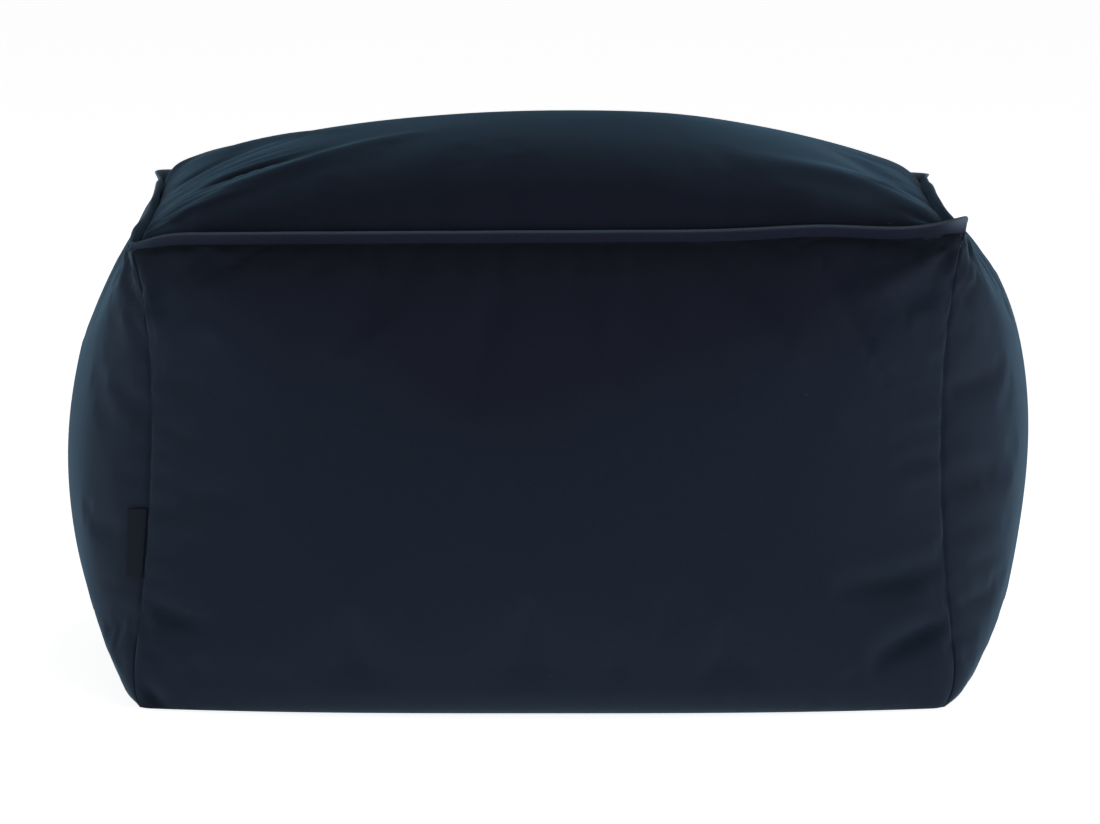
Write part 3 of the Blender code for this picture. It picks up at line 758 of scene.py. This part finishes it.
def strokedPileAndArchShade(tree, place):  # clouds, with painted shade above an arch between the top corners and painted light below it
    axes = addNode(tree, "ShaderNodeSeparateXYZ", None, {"Vector": place})
    cloud = addNode(tree, "ShaderNodeTexNoise",
                    {"Scale": 1 / velvet["cloudSize"], "Detail": velvet["cloudDetail"],
                     "Roughness": velvet["cloudRoughness"], "Distortion": velvet["cloudDistortion"]},
                    {"Vector": place})
    squared = addNode(tree, "ShaderNodeMath", {1: 2.0}, {0: axes.outputs["X"]}, operation="POWER")
    arch = addNode(tree, "ShaderNodeMath", {1: -velvet["archRise"]},
                   {0: squared.outputs[0], 2: axes.outputs["Z"]}, operation="MULTIPLY_ADD")
    below = addNode(tree, "ShaderNodeMapRange",
                    {"From Min": velvet["archTop"], "From Max": velvet["archFoot"],
                     "To Max": velvet["archShare"]}, {"Value": arch.outputs[0]})
    total = addNode(tree, "ShaderNodeMath", {1: velvet["cloudShare"]},
                    {0: cloud.outputs["Fac"], 2: below.outputs["Result"]}, operation="MULTIPLY_ADD")
    deepest, lightest = velvet["strokedAndShadedRange"]
    strokedAndShaded = addNode(tree, "ShaderNodeMapRange", {"From Min": deepest, "From Max": lightest},
                      {"Value": total.outputs[0]}, interpolation_type="SMOOTHSTEP")
    return strokedAndShaded.outputs["Result"]


def lintSpecks(tree, place):  # 1 on the few specks of lint
    speck = addNode(tree, "ShaderNodeTexVoronoi", {"Scale": 1 / velvet["lintSpacing"], "Randomness": 1.0},
                    {"Vector": place})
    near = addNode(tree, "ShaderNodeMath", {1: velvet["lintSize"] / velvet["lintSpacing"]},
                   {0: speck.outputs["Distance"]}, operation="LESS_THAN")
    draw = addNode(tree, "ShaderNodeSeparateColor", None, {"Color": speck.outputs["Color"]})
    few = addNode(tree, "ShaderNodeMath", {1: velvet["lintGaps"]}, {0: draw.outputs["Red"]},
                  operation="GREATER_THAN")
    both = addNode(tree, "ShaderNodeMath", None, {0: near.outputs[0], 1: few.outputs[0]},
                   operation="MULTIPLY")
    return both.outputs[0]


def velvetMaterial():
    material, tree = newMaterial("cut_pile_velvet_navy")
    place = addNode(tree, "ShaderNodeTexCoord").outputs["Object"]
    pile = addNode(tree, "ShaderNodeTexNoise",
                   {"Scale": 1 / velvet["pileSize"], "Detail": velvet["pileDetail"],
                    "Roughness": velvet["pileRoughness"]}, {"Vector": place})
    tuftLow, tuftHigh = velvet["tuftRange"]
    darkest, palest = velvet["tuftShade"]
    tuft = addNode(tree, "ShaderNodeMapRange",
                   {"From Min": tuftLow, "From Max": tuftHigh, "To Min": darkest, "To Max": palest},
                   {"Value": pile.outputs["Fac"]})
    # the two tones, over stroked clouds and the arch's painted shade and painted light
    colour = addNode(tree, "ShaderNodeMix", {6: linear(velvet["deep"]), 7: linear(velvet["brushedAndLit"])},
                     {0: strokedPileAndArchShade(tree, place)}, data_type="RGBA")
    # painted shade under the flange, at the foot and in creases, and crushed pile with painted shade on the
    # top
    pressedAndShaded = addNode(tree, "ShaderNodeAttribute", attribute_name="pressedPileAndShade")
    pressedAndShadedColour = addNode(tree, "ShaderNodeMix", {7: linear(velvet["pressedAndShaded"])},
                        {0: pressedAndShaded.outputs["Fac"], 6: colour.outputs[2]}, data_type="RGBA")
    # painted highlight on the flange's free edge, and painted light on its ears
    highlighted = addNode(tree, "ShaderNodeAttribute", attribute_name="flangeHighlight")
    edged = addNode(tree, "ShaderNodeMix", {7: linear(velvet["highlighted"])},
                    {0: highlighted.outputs["Fac"], 6: pressedAndShadedColour.outputs[2]}, data_type="RGBA")
    shaded = addNode(tree, "ShaderNodeMix", {0: 1.0}, {6: edged.outputs[2], 7: tuft.outputs["Result"]},
                     data_type="RGBA", blend_type="MULTIPLY")
    finished = addNode(tree, "ShaderNodeMix", {7: linear(velvet["lint"])},
                       {0: lintSpecks(tree, place), 6: shaded.outputs[2]}, data_type="RGBA")
    bump = addNode(tree, "ShaderNodeBump",
                   {"Strength": velvet["pileBump"], "Distance": velvet["pileDepth"]},
                   {"Height": pile.outputs["Fac"]})
    shader = addNode(tree, "ShaderNodeBsdfPrincipled",
                     {"Roughness": velvet["roughness"], "Specular IOR Level": velvet["specular"],
                      "Sheen Weight": velvet["sheen"], "Sheen Roughness": velvet["sheenRoughness"],
                      "Sheen Tint": linear(velvet["sheenTint"])},
                     {"Base Color": finished.outputs[2], "Normal": bump.outputs["Normal"]})
    addNode(tree, "ShaderNodeOutputMaterial", None, {"Surface": shader.outputs["BSDF"]})
    return material


# Woven polyester satin tape: black, with a soft gloss across its fine warp
satin = {
    "black": "#161a23",
    "worn": "#191e28",
    "roughness": 0.75,
    "specular": 0.06,
    "ribSpacing": 0.0022,  # real warp is 0.12 mm; drawn as coarse as shows in the render
    "ribWaver": 0.2,
    "ribBump": 0.15,
    "ribDepth": 0.0001,
}
waveTurns = 20.0  # radians in a metre of a wave texture at scale 1


def satinMaterial():
    material, tree = newMaterial("woven_satin_tape_black")
    place = addNode(tree, "ShaderNodeTexCoord").outputs["Object"]
    scale = 2 * math.pi / (waveTurns * satin["ribSpacing"])
    warp = addNode(tree, "ShaderNodeTexWave", {"Scale": scale, "Distortion": satin["ribWaver"]},
                   {"Vector": place}, wave_type="BANDS", bands_direction="Z")
    colour = addNode(tree, "ShaderNodeMix", {6: linear(satin["black"]), 7: linear(satin["worn"])},
                     {0: warp.outputs["Fac"]}, data_type="RGBA")
    bump = addNode(tree, "ShaderNodeBump", {"Strength": satin["ribBump"], "Distance": satin["ribDepth"]},
                   {"Height": warp.outputs["Fac"]})
    shader = addNode(tree, "ShaderNodeBsdfPrincipled",
                     {"Roughness": satin["roughness"], "Specular IOR Level": satin["specular"]},
                     {"Base Color": colour.outputs[2], "Normal": bump.outputs["Normal"]})
    addNode(tree, "ShaderNodeOutputMaterial", None, {"Surface": shader.outputs["BSDF"]})
    return material


def dress(piece, material, node):  # a finished piece takes a CAD node's place
    piece.data.materials.append(material)
    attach(piece, "root")
    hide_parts(node)


velvetCloth = velvetMaterial()
bodyPiece = stuffedBody()
dress(bodyPiece, velvetCloth, "stuffed_body")
dress(topSeamFlange(), velvetCloth, "top_seam_flange")
dress(sideLabel(), satinMaterial(), "side_label")
print("pieces dressed")

# Plain studio: a pale floor, a white room and large soft lights
studio = {
    "floor": "#f4f4f4",
    "floorSize": 60.0,
    "floorDrop": 0.0005,  # just under the base, so that the two don't share a plane
    "floorRoughness": 0.9,
    "floorSpecular": 0.1,
    "floorGlow": 0.86,
    "room": "#ffffff",
    "roomStrength": 0.13,
    "lights": [
        # name, place, height aimed at, size, watts
        ("frontFill", (0.0, -3.4, 0.35), 0.15, (2.6, 0.6), 14.0),
        ("leftSide", (-2.8, -0.5, 0.30), 0.20, (2.0, 0.6), 19.0),
        ("rightSide", (2.8, -0.5, 0.45), 0.22, (2.0, 0.8), 31.0),
        ("overhead", (0.7, -0.4, 2.75), 0.20, (2.2, 1.8), 10.8),
        ("backFill", (0.0, 3.4, 0.45), 0.20, (2.6, 0.6), 3.5),
    ],
}


def studioFloor():
    bpy.ops.mesh.primitive_plane_add(size=studio["floorSize"], location=(0.0, 0.0, -studio["floorDrop"]))
    floor = bpy.context.active_object
    floor.name = "studioFloor"
    material, tree = newMaterial("matt_paper_white")
    shader = addNode(tree, "ShaderNodeBsdfPrincipled",
                     {"Base Color": linear(studio["floor"]), "Roughness": studio["floorRoughness"],
                      "Specular IOR Level": studio["floorSpecular"],
                      "Emission Color": linear(studio["room"]), "Emission Strength": studio["floorGlow"]})
    addNode(tree, "ShaderNodeOutputMaterial", None, {"Surface": shader.outputs["BSDF"]})
    floor.data.materials.append(material)


def studioLights():
    world = bpy.context.scene.world or bpy.data.worlds.new("room")
    bpy.context.scene.world = world
    world.use_nodes = True
    background = world.node_tree.nodes["Background"]
    background.inputs["Color"].default_value = linear(studio["room"])
    background.inputs["Strength"].default_value = studio["roomStrength"]
    for name, place, aimHeight, size, watts in studio["lights"]:
        data = bpy.data.lights.new(name, "AREA")
        data.shape = "RECTANGLE"
        data.size, data.size_y = size
        data.energy = watts
        light = bpy.data.objects.new(name, data)
        bpy.context.scene.collection.objects.link(light)
        light.location = place
        aim = Vector((0.0, 0.0, aimHeight)) - Vector(place)
        light.rotation_euler = aim.to_track_quat("-Z", "Y").to_euler()


view = {
    "place": (0.0, -4.8115, 0.8919),
    "pitch": 8.2715,  # degrees down from level
    "lens": 203.89,
    "sensor": 36.0,
    "reach": 100.0,
}


def studioCamera():
    data = bpy.data.cameras.new("camera")
    data.lens = view["lens"]
    data.sensor_width = view["sensor"]
    data.clip_end = view["reach"]
    camera = bpy.data.objects.new("camera", data)
    bpy.context.scene.collection.objects.link(camera)
    camera.location = view["place"]
    camera.rotation_euler = (math.radians(90.0 - view["pitch"]), 0.0, 0.0)
    bpy.context.scene.camera = camera


studioFloor()
studioLights()
studioCamera()
bpy.context.scene.view_settings.view_transform = "Standard"
print("studio ready")
